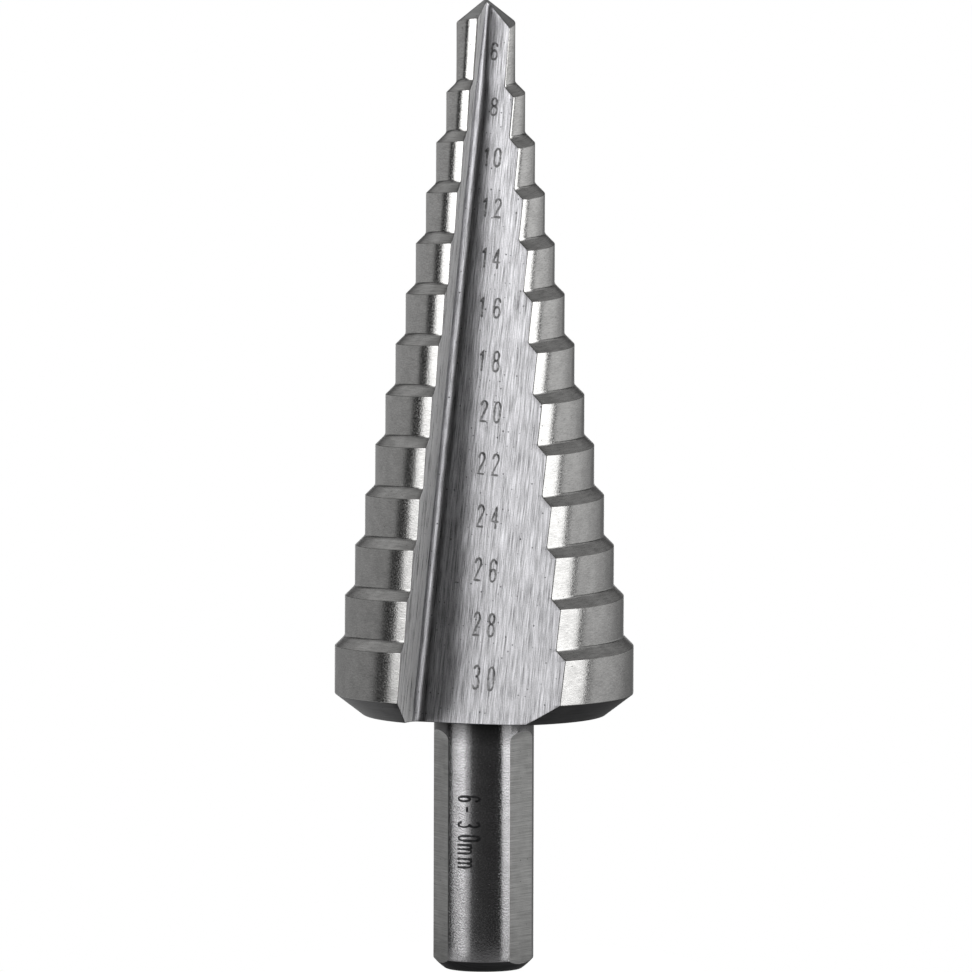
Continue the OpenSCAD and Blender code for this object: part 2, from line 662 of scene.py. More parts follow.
    def rim_place(self, angle: float, radius: float, outer: float) -> float:
        """Place along a wall of the line that runs out at a radius of the back.

        Args:
            angle: the wall's angle in the section.
            radius: the distance from the axis at which the line runs out.
            outer: the wall's outer edge, as a distance from the root.

        Returns:
            The line's distance from the root.
        """
        height = self.steps.back_surface_z(np.array(radius))

        def rule(distance: np.ndarray) -> np.ndarray:
            """How far outside the radius a line runs out."""
            point = self.flute.at_height(distance * math.cos(angle), distance * math.sin(angle), height)
            return np.hypot(point[..., 0], point[..., 1]) - radius

        low, high = self.rim_search
        return float(root_of(rule, outer * low, outer * high))

    def wall_shares(self, base_rake: np.ndarray, base_broad: np.ndarray) -> tuple[np.ndarray, np.ndarray]:
        """Places of the columns across each wall, so that one pair of them meets the rim.

        Args:
            base_rake: the lowest row's first point on the rake wall.
            base_broad: the same on the broad wall.

        Returns:
            Shares of the way from the outer edge to the root, for the rake and the broad wall.
        """
        found = []
        inner = self.flute.root_radius((base_rake[2] + base_broad[2]) / 2) / math.tan(self.flute.half)
        for base, angle in ((base_rake, self.flute.rake), (base_broad, self.flute.broad)):
            outer = np.hypot(*self.flute.section(base)[:2])
            shares = [0.0]
            for radius in (self.steps.rim_r + self.edge_round, self.steps.rim_r - self.edge_round):
                place = self.rim_place(angle, radius, outer)
                shares.append((outer - place) / (outer - inner))
            before = np.linspace(0, shares[1], self.bevel_columns + 1)
            after = np.linspace(shares[2], 1, self.wall_columns + 1)
            found.append(np.concatenate([before, after]))
        return found[0], found[1]

    def loop(self, row: Row) -> Loop:
        """One row all the way from a heel, over the land and through the flute ahead.

        Args:
            row: the row of the land.

        Returns:
            The land's points, the point on its rounded heel, the one on its rounded cutting edge and
            the points across the flute.
        """
        flute, b = self.flute, self.edge_round
        edge_angle = self.wall_angle(row, 0.0, flute.rake_normal, self.edge_search)
        heel_angle = self.wall_angle(row, math.pi, flute.broad_normal, self.heel_search)
        edge, heel = row(np.array(edge_angle)), row(np.array(heel_angle))
        far_heel = turned(heel, math.pi)
        back_off = b / np.hypot(edge[0], edge[1])
        land = row(np.linspace(heel_angle + back_off, edge_angle - back_off, self.land_columns))
        root = flute.root_points(edge[2], far_heel[2], self.arc_columns)
        rake_start = edge + b * unit(root[0] - edge)
        broad_start = far_heel + b * unit(root[-1] - far_heel)
        rake = rake_start + self.rake_shares[:-1, None] * (root[0] - rake_start)
        broad = broad_start + self.broad_shares[:-1, None] * (root[-1] - broad_start)
        wall = np.concatenate([rake, root, broad[::-1]])
        edge_mid = rounded(land[-1], edge, rake_start)
        heel_mid = rounded(land[0], heel, turned(broad_start, math.pi))
        return Loop(land, heel_mid, edge_mid, wall)

    def build_lands(self) -> None:
        """Adds both lands and both flutes between the point and the bevel."""
        rows, surfaces = self.land_rows()
        self.rake_shares = self.broad_shares = np.array([0.0, 1.0])
        base = self.loop(rows[-1]).wall
        self.rake_shares, self.broad_shares = self.wall_shares(base[0], base[-1])
        loops = [self.loop(row) for row in rows]
        land, heel_mid, edge_mid, wall = (np.array(part) for part in zip(*loops))
        behind = turned(wall[:, -1:], math.pi)
        full = np.concatenate([behind, heel_mid[:, None], land, edge_mid[:, None], wall[:, :1]], axis=1)
        self.top, self.bottom = loops[0], loops[-1]
        self.add_twice(full, self.round_ground(full), np.array(surfaces))
        self.add_flute(wall)

    def add_flute(self, grid: np.ndarray) -> None:
        """Adds a sheet of both flutes, with the rake wall's own finish into the root.

        Args:
            grid: rows by columns of points across one flute.
        """
        ground = self.flute_ground(grid)
        parting = len(self.rake_shares) - 1 + self.rake_arc_columns
        self.add_twice(grid[:, :parting + 1], ground[:, :parting + 1], Surface.RAKE)
        self.add_twice(grid[:, parting:], ground[:, parting:], Surface.FLUTE)

    def add_twice(self, grid: np.ndarray, ground: np.ndarray, surface: np.ndarray | Surface) -> None:
        """Adds a sheet to the skin, and again half a turn on."""
        for half in (0, math.pi):
            self.skin.add(turned(grid, half + self.land_turn), ground, surface)

    def round_ground(self, grid: np.ndarray) -> np.ndarray:
        """Distances along the grinding, for what is ground or turned about the axis.

        Args:
            grid: rows by columns of points.

        Returns:
            The distances round the axis and down the profile, in the same layout.
        """
        radius = np.hypot(grid[..., 0], grid[..., 1])
        angle = np.unwrap(np.arctan2(grid[..., 1], grid[..., 0]), axis=1)
        fall = np.linalg.norm(np.diff(np.stack([radius, grid[..., 2]]), axis=1), axis=0)
        down = np.concatenate([np.zeros((1, grid.shape[1])), np.cumsum(fall, axis=0)])
        return np.stack([angle * np.maximum(radius, 1), down], axis=-1)

    def flute_ground(self, grid: np.ndarray) -> np.ndarray:
        """Distances along the grinding, for a flute.

        Args:
            grid: rows by columns of points across the flute.

        Returns:
            The distances along the root line and across the walls, counted from the root.
        """
        along = self.flute.section(grid)[..., 2]
        steps = np.linalg.norm(np.diff(self.flute.section(grid)[..., :2], axis=1), axis=-1)
        across = np.concatenate([np.zeros((grid.shape[0], 1)), np.cumsum(steps, axis=1)], axis=1)
        middle = across[:, grid.shape[1] // 2][:, None]
        return np.stack([along, across - middle], axis=-1)

    def run_out(self, wall: np.ndarray, surface: Height, way: int) -> tuple[np.ndarray, np.ndarray]:
        """Follows each line of a flute to where it meets a surface.

        Args:
            wall: the points across the flute to start from.
            surface: the height of the surface at a place in plan.
            way: 1 to go up, -1 to go down.

        Returns:
            The points on the surface, and the ones a rounding's width short of it on the wall.
        """
        along = self.flute.along

        def rule(distance: np.ndarray) -> np.ndarray:
            """How far past the surface each line has come."""
            point = wall + way * distance[:, None] * along
            return way * (point[:, 2] - surface(point[:, 0], point[:, 1]))

        low, high = self.run_search
        distance = np.maximum(root_of(rule, np.full(len(wall), low), np.full(len(wall), high)), 0)
        short = np.maximum(distance - self.edge_round, 0)
        return wall + way * distance[:, None] * along, wall + way * short[:, None] * along

    def patch(self, wall: np.ndarray, short: np.ndarray) -> np.ndarray:
        """Rows of a flute's wall between a row of the lands and its run-out."""
        share = np.linspace(0, 1, self.patch_rows + 1)[:, None, None]
        return wall + share * (short - wall)

    def spans(self, first: Loop, corner: np.ndarray, short: np.ndarray, height: Height,
              straight: float, dip: float) -> np.ndarray:
        """Rows of a face that closes the head, from a row of the lands to the middle of the flutes.

        Args:
            first: the row to start from.
            corner: the points across the flute at which the walls meet the face.
            short: the points just short of them on the walls.
            height: the face's height at a place in plan.
            straight: how far the last row is straightened, from 0 for round to 1.
            dip: how far the last row keeps inside the circle through its ends.

        Returns:
            Rows by columns of points, from wall to wall.
        """
        rows = [np.concatenate([turned(first.wall[-1:], math.pi), first.heel_mid[None], first.land,
                                first.edge_mid[None], first.wall[:1]])]
        inset = self.inset(corner)
        last = len(corner) // 2
        share = np.linspace(0, 1, self.land_columns)
        for j in range(1, last + 1):
            edge, heel = corner[j], turned(corner[-1 - j], math.pi)
            edge_in, heel_in = inset[j], turned(np.append(inset[-1 - j], 0), math.pi)[:2]
            sunk = dip * math.sqrt(max(j - self.dip_from, 0) / (last - self.dip_from))
            round_xy = self.round_span(heel_in, edge_in, share, sunk)
            line_xy = heel_in + share[:, None] * (edge_in - heel_in)
            weight = (j / last) ** self.straighten * straight
            xy = (1 - weight) * round_xy + weight * line_xy
            face = np.column_stack([xy, height(xy[:, 0], xy[:, 1])])
            edge_short, heel_short = short[j], turned(short[-1 - j], math.pi)
            heel_end = heel_short, rounded(face[0], heel, heel_short)
            edge_end = rounded(face[-1], edge, edge_short), edge_short
            rows.append(np.concatenate([heel_end, face, edge_end]))
        return np.array(rows)

    def inset(self, corner: np.ndarray) -> np.ndarray:
        """Places in plan a rounding's width inside the line along which a flute meets a face."""
        way = np.gradient(corner[:, :2], axis=0)
        return corner[:, :2] + self.edge_round * unit(np.stack([-way[:, 1], way[:, 0]], axis=-1))

    def round_span(self, heel: np.ndarray, edge: np.ndarray, share: np.ndarray, sunk: float) -> np.ndarray:
        """A row in plan that turns evenly about the axis between two points.

        Args:
            heel: the point to start from.
            edge: the point to end at.
            share: how far along the row each point lies.
            sunk: how far the row is sunk toward the axis between its ends.

        Returns:
            The row's places in plan.
        """
        radii = np.hypot(heel[0], heel[1]), np.hypot(edge[0], edge[1])
        angles = math.atan2(heel[1], heel[0]), math.atan2(edge[1], edge[0])
        if angles[0] > angles[1]:
            angles = angles[0] - 2 * math.pi, angles[1]
        radius = radii[0] + share * (radii[1] - radii[0]) - sunk * (1 - (2 * share - 1) ** self.dip_power)
        angle = angles[0] + share * (angles[1] - angles[0])
        return np.stack([radius * np.cos(angle), radius * np.sin(angle)], axis=-1)

    def build_point(self) -> None:
        """Adds the flanks, the chisel edge between them and the flutes' upper ends."""
        wall = self.top.wall
        corner, short = self.run_out(wall, self.steps.flank_z, 1)
        self.add_flute(self.patch(wall, short)[::-1])
        flank = self.spans(self.top, corner, short, self.steps.flank_z, 1.0, 0.0)[::-1]
        self.add_twice(flank, self.round_ground(flank), Surface.FLANK)

    def back_height(self, x: np.ndarray, y: np.ndarray) -> np.ndarray:
        """Height of the bevel and the back face at a place in plan."""
        return self.steps.back_surface_z(np.hypot(x, y))

    def build_back(self) -> None:
        """Adds the bevel, the back face and the flutes' lower ends."""
        wall = self.bottom.wall
        corner, short = self.run_out(wall, self.back_height, -1)
        self.add_flute(self.patch(wall, short))
        back = self.spans(self.bottom, corner, short, self.back_height, 0.0, self.back_dip)
        self.add_twice(back, self.round_ground(back), Surface.TURNED)
        inner = back[-1, 2:-2]
        self.ring = turned(np.concatenate([inner[:-1], turned(inner, math.pi)]), self.land_turn)

    def build_shank(self) -> None:
        """Adds the rest of the back face, the neck, the round shank and its crowned end."""
        steps, ring, b = self.steps, self.ring, self.edge_round
        start_r = np.hypot(ring[:, 0], ring[:, 1])
        angle = np.unwrap(np.arctan2(ring[:, 1], ring[:, 0]))
        neck_r = self.shank_r + self.neck_r
        neck_z = steps.back_z - (steps.rim_r - self.shank_r) * math.tan(steps.back_fall)
        rows = [ring]
        for k in range(1, self.ring_rows + 1):
            radius = start_r + k / self.ring_rows * (neck_r - start_r)
            rows.append(polar(radius, angle, steps.back_surface_z(radius)))
        for k in range(1, self.neck_rows + 1):
            turn = k / self.neck_rows * math.pi / 2
            rows.append(polar(neck_r - self.neck_r * math.sin(turn), angle,
                              neck_z - self.neck_r * (1 - math.cos(turn))))
        face_rows = len(rows) - 1
        end_r, end_h = self.shank_r - self.end_chamfer, self.end_chamfer / math.tan(self.end_angle)
        lead_z = steps.back_z - self.collar_l - self.runout_r - self.shank_lead
        rows += [polar(self.shank_r, angle, z) for z in (lead_z, end_h + b)]
        rows += [polar(self.shank_r - b / 4, angle, end_h)]
        shank_rows = len(rows) - 1
        ball_z = (self.shank_r**2 + end_h**2 - end_r**2) / (2 * end_h)
        ball_r = math.hypot(end_r, ball_z)
        for height in np.linspace(end_h - b, b, self.end_rows):
            rows.append(polar(math.sqrt(ball_r**2 - (height - ball_z) ** 2), angle, height))
        for radius, height in ((end_r - b / 4, b / 4), (end_r - b, 0.0), (0.0, 0.0)):
            rows.append(polar(radius, angle, height))
        grid = np.array(rows)
        kinds = [Surface.TURNED] * face_rows + [Surface.SHANK] * (shank_rows - face_rows)
        kinds += [Surface.TURNED] * (len(rows) - 1 - shank_rows)
        self.skin.add(grid, self.round_ground(grid), np.array(kinds))

    def flat_cutters(self) -> list[bpy.types.Object]:
        """Makes the blocks that cut the flats.

        Returns:
            A block for each flat, its inner face being the flat and the wheel's run-out above it.
        """
        face_r = self.shank_r - self.flat_depth
        flat_z = self.steps.back_z - self.collar_l
        arc = np.linspace(math.pi, math.pi / 2, self.runout_points)
        run_x = face_r + self.runout_r * (1 + np.cos(arc))
        run = np.column_stack([run_x, flat_z + self.runout_r * np.sin(arc)])
        top, low, far = flat_z + self.runout_r, -self.cutter_below, self.cutter_reach
        profile = np.concatenate([[[face_r, low]], run, [[far, top], [far, low]]])
        n = len(profile)
        sides = [np.insert(profile, 1, y, axis=1) for y in (-self.cutter_half, self.cutter_half)]
        block = np.concatenate(sides)
        faces = [(j, (j + 1) % n, n + (j + 1) % n, n + j) for j in range(n)]
        faces += [tuple(range(n)), tuple(range(2 * n - 1, n - 1, -1))]
        cutters = []
        for k in range(self.flat_count):
            turn = self.flat_angle + k * 2 * math.pi / self.flat_count - math.pi / 2
            mesh = new_mesh(f"flat_cutter_{k}", turned(block, turn), faces, block[:, 1:])
            settle(mesh)
            cutters.append(put(mesh))
        return cutters

    def build(self, finishes: list[bpy.types.Material]) -> bpy.types.Object:
        """Builds the bit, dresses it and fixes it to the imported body.

        Args:
            finishes: a material for each surface, in their order.

        Returns:
            The bit.
        """
        self.build_lands()
        self.build_point()
        self.build_back()
        self.build_shank()
        bit = put(self.skin.mesh("drill_bit"))
        for material in finishes:
            bit.data.materials.append(material)
        for cutter in self.flat_cutters():
            self.cut_flat(bit, cutter, finishes[Surface.FLAT])
        self.sharpen(bit)
        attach(bit, BODY)
        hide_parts(NODE)
        return bit

    def cut_flat(self, bit: bpy.types.Object, cutter: bpy.types.Object, finish: bpy.types.Material) -> None:
        """Cuts one flat and takes the block away.

        Args:
            bit: the bit.
            cutter: the block.
            finish: the flat's material.
        """
        cutter.data.materials.append(finish)
        cut = bit.modifiers.new(cutter.name, "BOOLEAN")
        cut.operation = "DIFFERENCE"
        cut.solver = "EXACT"
        cut.material_mode = "TRANSFER"
        cut.object = cutter
        with bpy.context.temp_override(object=bit, active_object=bit, selected_objects=[bit]):
            bpy.ops.object.modifier_apply(modifier=cut.name)
        bpy.data.objects.remove(cutter)

    def sharpen(self, bit: bpy.types.Object) -> None:
        """Keeps each ground face's own shading up to its edges.

        Args:
            bit: the bit.
        """
        mesh = bit.data
        mesh.shade_smooth()
        work = bmesh.new()
        work.from_mesh(mesh)
        for edge in work.edges:
            if len(edge.link_faces) != 2:
                continue
            kinds = {face.material_index for face in edge.link_faces}
            bent = edge.calc_face_angle() > self.sharp_angle
            edge.smooth = not (bent or (Surface.FLAT in kinds and len(kinds) == 2))
        work.to_mesh(mesh)
        work.free()
        normals = bit.modifiers.new("face_weighted", "WEIGHTED_NORMAL")
        normals.keep_sharp = True
        normals.weight = self.face_weight


class Bench:
    """A node tree at work: adds nodes, sets what they need and joins them."""

    def __init__(self, tree: bpy.types.NodeTree) -> None:
        """Starts with an existing tree."""
        self.tree = tree

    def add(self, kind: str, choices: dict[str, object] | None = None, **inputs: object) -> bpy.types.Node:
        """Adds a node.

        Args:
            kind: the node's type, without its ShaderNode prefix.
            choices: the node's own options.
            inputs: a value or an output socket for each named input, with _ for a space.

        Returns:
            The node.
        """
        node = self.tree.nodes.new("ShaderNode" + kind)
        for name, choice in (choices or {}).items():
            setattr(node, name, choice)
        for name, value in inputs.items():
            self.feed(node.inputs[name.replace("_", " ")], value)
        return node

    def feed(self, socket: Socket, value: object) -> None:
        """Joins an output to an input, or sets the input's own value.

        Args:
            socket: the input.
            value: the output, or the value.
        """
        if isinstance(value, Socket):
            self.tree.links.new(value, socket)
        else:
            socket.default_value = value

    def math(self, operation: str, *values: object) -> Socket:
        """The result of one piece of arithmetic.

        Args:
            operation: the kind of arithmetic.
            values: what goes into it.

        Returns:
            The result's socket.
        """
        node = self.add("Math", {"operation": operation})
        for socket, value in zip(node.inputs, values):
            self.feed(socket, value)
        return node.outputs[0]

    def scaled(self, vector: Socket, x: float, y: float) -> Socket:
        """A vector with its first two sides multiplied.

        Args:
            vector: the vector.
            x: the first side's factor.
            y: the second side's factor.

        Returns:
            The new vector.
        """
        node = self.add("VectorMath", {"operation": "MULTIPLY"})
        self.feed(node.inputs[0], vector)
        node.inputs[1].default_value = (x, y, 1.0)
        return node.outputs[0]

    def noise(self, vector: Socket, detail: float, rough: float = 0.5) -> Socket:
        """Cloudy values of about 0 to 1, one cloud to the vector's unit.

        Args:
            vector: where to look in the clouds.
            detail: how many finer layers the clouds have.
            rough: how strong each finer layer is.

        Returns:
            The values.
        """
        node = self.add("TexNoise", {"noise_dimensions": "2D"}, Vector=vector, Scale=1.0,
                        Detail=detail, Roughness=rough)
        return node.outputs[0]

    def spread(self, value: Socket, low: float | Socket, high: float | Socket,
               new_low: float, new_high: float) -> Socket:
        """A value carried from one range to another, and held to it.

        Args:
            value: the value.
            low: the old range's lower end.
            high: the old range's upper end.
            new_low: what the lower end becomes.
            new_high: what the upper end becomes.

        Returns:
            The carried value.
        """
        node = self.add("MapRange", None, Value=value, From_Min=low, From_Max=high)
        node.inputs["To Min"].default_value = new_low
        node.inputs["To Max"].default_value = new_high
        return node.outputs[0]


# How many finer layers the marks, the blotches, and the bands and grains have
MARK_DETAIL = 4.0
BLOTCH_DETAIL = 3.0
FINE_DETAIL = 2.0
# How strong each finer layer of the marks is
MARK_LAYER = 0.6
# Where most of the values of long marks, of soft clouds and of fine grains lie
MARK_SPAN = (0.32, 0.68)
CLOUD_SPAN = (0.35, 0.65)
GRAIN_SPAN = (0.3, 0.7)
# The wider span of grains over which the roughness changes
GLOSS_SPAN = (0.25, 0.75)
# How fine a band is along and across, as a share of the marks over it, and how many times calmer
BAND_ALONG = 0.4
BAND_ACROSS = 0.25
BAND_CALM = 3
# How much rougher a pit is, how deep it is in thousandths, and its rim as a share of its size
PIT_ROUGH = 0.25
PIT_DEPTH = 6.0
PIT_RIM = 0.35
# A thousandth of a millimetre, in metres
MICRON = 1e-6
# A quarter turn, from across the marks to along them
ALONG_MARKS = 0.25
# Places on the root line: at the back, where the painted shade and highlight beside the root narrow, and near
# the point
ROOT_BACK = -62.0
ROOT_NARROW = -5.0
ROOT_POINT = -8.0
# Shares of the tone's reach at which it starts to fade at the back, and ends near the point
TONE_NEAR = 0.6
TONE_FAR_POINT = 0.28
# Distances from the root at which it starts to fade near the point, and from which it is full
TONE_NEAR_POINT = 0.3
TONE_START = 0.4
# Heights between which the shank gets painted shade toward the head, and the lands painted light toward the
# point
NECK_SHADE_SPAN = (22.6, 24.9)
RISE_LIGHT_SPAN = (35.0, 85.0)


@dataclass(frozen=True)
class GroundFinish:
    """Steel as a wheel leaves it: marks along the wheel's path, fine grains, blotches and pits, and on some
    surfaces painted shade and painted light.

    Widths and lengths are millimetres, and depths are thousandths of one.
    """

    name: str
    colour: tuple[float, float, float]
    roughness: float
    stretch: float
    mark_w: float = 0.1
    mark_l: float = 3.0
    mark_depth: float = 1.0
    mark_tone: float = 0.1
    grain_w: float = 0.12
    grain_depth: float = 1.0
    grain_rough: float = 0.06
    grain_tone: float = 0.04
    blotch_w: float = 1.6
    blotch_tone: float = 0.06
    pit_gap: float = 1.1
    pit_size: float = 0.07
    pit_share: float = 0.4
    pit_tone: float = 0.7
    # Beside a flute's root, a darker tone is painted shade and a brighter one a painted highlight
    root_shade_and_highlight: float = 0.0
    root_side: float = 1.0
    root_reach: float = 4.2
    # The flute's tone toward the point: painted light
    point_painted_light: float = 0.0
    # The shank's tone at the head: painted shade under the head
    neck_painted_shade: float = 1.0
    # The lands' tone toward the point: painted light
    rise_painted_light: float = 1.0

    def material(self) -> bpy.types.Material:
        """Makes the finish's material.

        Returns:
            The material.
        """
        material = bpy.data.materials.new(self.name)
        material.use_nodes = True
        bench = Bench(material.node_tree)
        shader = material.node_tree.nodes["Principled BSDF"]
        place = bench.add("UVMap", {"uv_map": GROUND_UV}).outputs[0]
        marks = bench.noise(bench.scaled(place, 1 / self.mark_l, 1 / self.mark_w), MARK_DETAIL, MARK_LAYER)
        fine = bench.scaled(place, BAND_ALONG / self.mark_l, BAND_ACROSS / self.mark_w)
        bands = bench.noise(fine, FINE_DETAIL)
        grain = bench.noise(bench.scaled(place, 1 / self.grain_w, 1 / self.grain_w), FINE_DETAIL)
        blotch = bench.noise(bench.scaled(place, 1 / self.blotch_w, 1 / self.blotch_w), BLOTCH_DETAIL)
        pit = self.pits(bench, place)
        tone = bench.spread(marks, *MARK_SPAN, 1 - self.mark_tone, 1 + self.mark_tone)
        layers = ((blotch, CLOUD_SPAN, self.blotch_tone), (bands, CLOUD_SPAN, self.mark_tone / BAND_CALM),
                  (grain, GRAIN_SPAN, self.grain_tone))
        for clouds, span, swing in layers:
            tone = bench.math("ADD", tone, bench.spread(clouds, *span, -swing, swing))
        for share in self.shares(bench, place, pit):
            tone = bench.math("MULTIPLY", tone, share)
        tint = bench.add("VectorMath", {"operation": "SCALE"}, Scale=tone)
        tint.inputs[0].default_value = self.colour
        sleek, dull = self.roughness - self.grain_rough, self.roughness + self.grain_rough
        gloss = bench.spread(grain, *GLOSS_SPAN, sleek, dull)
        rough = bench.math("ADD", gloss, bench.math("MULTIPLY", pit, PIT_ROUGH))
        height = bench.math("ADD", bench.math("MULTIPLY", marks, self.mark_depth),
                            bench.math("MULTIPLY", grain, self.grain_depth))
        height = bench.math("SUBTRACT", height, bench.math("MULTIPLY", pit, PIT_DEPTH))
        bump = bench.add("Bump", None, Strength=1.0, Distance=MICRON, Height=height)
        tangent = bench.add("Tangent", {"direction_type": "UV_MAP", "uv_map": GROUND_UV})
        looks = {"Base Color": tint.outputs[0], "Roughness": rough, "Normal": bump.outputs[0],
                 "Tangent": tangent.outputs[0], "Metallic": 1.0, "Anisotropic": self.stretch,
                 "Anisotropic Rotation": ALONG_MARKS}
        for name, value in looks.items():
            bench.feed(shader.inputs[name], value)
        return material

    def shares(self, bench: Bench, place: Socket, pit: Socket) -> list[Socket]:
        """What the tone is multiplied by: the pits, and the painted shade and painted light beside the root
        and at some heights.

        Args:
            bench: the material's nodes.
            place: distances along the grinding.
            pit: 1 inside the pits and 0 outside.

        Returns:
            The factors.
        """
        found = [bench.spread(pit, 0.0, 1.0, 1.0, 1 - self.pit_tone)]
        if self.root_shade_and_highlight:
            found.append(self.root(bench, place))
        for span, tone in ((NECK_SHADE_SPAN, self.neck_painted_shade), (RISE_LIGHT_SPAN, self.rise_painted_light)):
            if tone != 1:
                found.append(self.by_height(bench, span, tone))
        return found

    def root(self, bench: Bench, place: Socket) -> Socket:
        """Tone beside a flute's root: painted shade where it is darker, a painted highlight where it is
        brighter, and painted light that grows toward the point.

        Args:
            bench: the material's nodes.
            place: distances along and across the flute, from the root.

        Returns:
            The factor for the tone.
        """
        sides = bench.add("SeparateXYZ", None, Vector=bench.scaled(place, 1.0, self.root_side))
        along, across = sides.outputs["X"], sides.outputs["Y"]
        reach = self.root_reach
        near = bench.spread(along, ROOT_BACK, ROOT_NARROW, TONE_NEAR * reach, TONE_NEAR_POINT)
        far = bench.spread(along, ROOT_BACK, ROOT_NARROW, reach, TONE_FAR_POINT * reach)
        band = bench.math("MULTIPLY", bench.spread(across, 0.0, TONE_START, 0.0, self.root_shade_and_highlight),
                          bench.spread(across, near, far, 1.0, 0.0))
        # The tone also rises toward the point along the flute: painted light
        return bench.math("ADD", band, bench.spread(along, ROOT_BACK, ROOT_POINT, 1.0, 1.0 + self.point_painted_light))

    def by_height(self, bench: Bench, span: Span, tone: float) -> Socket:
        """Tone that changes from 1 at one height on the axis to its own value at another.

        Args:
            bench: the material's nodes.
            span: the two heights.
            tone: the value at the second.

        Returns:
            The factor for the tone.
        """
        place = bench.add("TexCoord").outputs["Object"]
        height = bench.add("SeparateXYZ", None, Vector=place).outputs["Z"]
        return bench.spread(height, span[0] * MM, span[1] * MM, 1.0, tone)

    def pits(self, bench: Bench, place: Socket) -> Socket:
        """A few small round pits.

        Args:
            bench: the material's nodes.
            place: distances along the grinding.

        Returns:
            1 inside the pits and 0 outside.
        """
        spots = bench.scaled(place, 1 / self.pit_gap, 1 / self.pit_gap)
        cells = bench.add("TexVoronoi", {"voronoi_dimensions": "2D"}, Vector=spots, Scale=1.0)
        chance = bench.add("SeparateColor", None, Color=cells.outputs["Color"]).outputs[0]
        reach = bench.spread(chance, 1 - self.pit_share, 1.0, 0.0, self.pit_size / self.pit_gap)
        inside = bench.math("SUBTRACT", reach, cells.outputs["Distance"])
        return bench.spread(inside, 0.0, PIT_RIM * self.pit_size / self.pit_gap, 0.0, 1.0)


FINISHES = {
    # The lands brighten toward the point: painted light
    Surface.LAND: GroundFinish(
        "land_ground", (0.62, 0.615, 0.605), 0.185, 0.3, mark_w=0.08, mark_l=0.6, mark_depth=1.5,
        mark_tone=0.13, grain_w=0.18, grain_depth=4.2, grain_tone=0.09, rise_painted_light=1.3),
    Surface.CHAMFER: GroundFinish(
        "chamfer_ground", (0.6, 0.595, 0.585), 0.32, 0.4, mark_w=0.08, mark_l=1.5, mark_depth=2.5,
        mark_tone=0.22, grain_depth=2.0, blotch_tone=0.1),
    # The broad wall darkens beside the root, painted shade, and brightens toward the point, painted light
    Surface.FLUTE: GroundFinish(
        "broad_wall_brushed", (0.5, 0.497, 0.515), 0.36, 0.4, mark_w=0.065, mark_l=2.6, mark_depth=2.0,
        mark_tone=0.5, grain_depth=0.6, grain_tone=0.14, blotch_tone=0.04, pit_gap=0.7, pit_size=0.1,
        pit_share=0.3, pit_tone=0.6, root_shade_and_highlight=-0.5, point_painted_light=0.25),
    # The rake wall's steel is painted much brighter than the broad wall's, with a painted highlight beside
    # the root and painted light toward the point
    Surface.RAKE: GroundFinish(
        "rake_wall_brushed_painted_bright", (0.92, 0.917, 0.92), 0.68, 0.3, mark_w=0.12, mark_l=4.5, mark_depth=6.0,
        mark_tone=0.65, grain_tone=0.1, pit_gap=0.8, pit_size=0.09, pit_share=0.3, root_shade_and_highlight=0.25,
        root_side=-1.0, point_painted_light=0.35),
    Surface.FLANK: GroundFinish("flank_ground", (0.5, 0.5, 0.5), 0.34, 0.3, mark_tone=0.12, grain_depth=2.0),
    # The bevel, back face, neck and the shank's end chamfer and end are painted nearly black: painted shade
    # where they face down
    Surface.TURNED: GroundFinish("back_turned_painted_shade", (0.1, 0.1, 0.103), 0.34, 0.4, mark_w=0.15, mark_tone=0.25),
    # The shank darkens toward the head: painted shade under the head
    Surface.SHANK: GroundFinish(
        "shank_bright", (0.54, 0.535, 0.545), 0.17, 0.1, mark_depth=0.4, mark_tone=0.04, grain_w=0.17,
        grain_depth=5.5, grain_tone=0.15, neck_painted_shade=0.22),
    Surface.FLAT: GroundFinish(
        "flat_ground", (0.59, 0.59, 0.58), 0.38, 0.5, mark_w=0.065, mark_l=5.0, mark_depth=1.5,
        mark_tone=0.22, grain_depth=1.0, grain_tone=0.08),
    Surface.MARK: GroundFinish(
        "mark_dark", (0.32, 0.32, 0.325), 0.5, 0.0, mark_w=0.3, mark_l=0.4, mark_tone=0.3, grain_rough=0.1,
        blotch_w=1.3, blotch_tone=0.3, pit_share=0.1),
    Surface.RANGE: GroundFinish(
        "range_dark", (0.08, 0.08, 0.083), 0.5, 0.0, mark_w=0.3, mark_l=0.4, mark_tone=0.3, grain_rough=0.1,
        blotch_w=0.9, blotch_tone=0.2, pit_share=0.1),
}


# Degrees between two points of a bow
BOW_STEP = 22.5


def bow(x: float, y: float, rx: float, ry: float, first: float, last: float) -> Stroke:
    """Part of an ellipse as a stroke.

    Args:
        x: the middle's place across the figure.
        y: the middle's place up the figure.
        rx: the radius across.
        ry: the radius up.
        first: the angle to start at, in degrees.
        last: the angle to end at.

    Returns:
        The stroke's points.
    """
    count = max(3, round(abs(last - first) / BOW_STEP))
    angles = np.radians(np.linspace(first, last, count + 1))
    return [(x + rx * math.cos(a), y + ry * math.sin(a)) for a in angles]


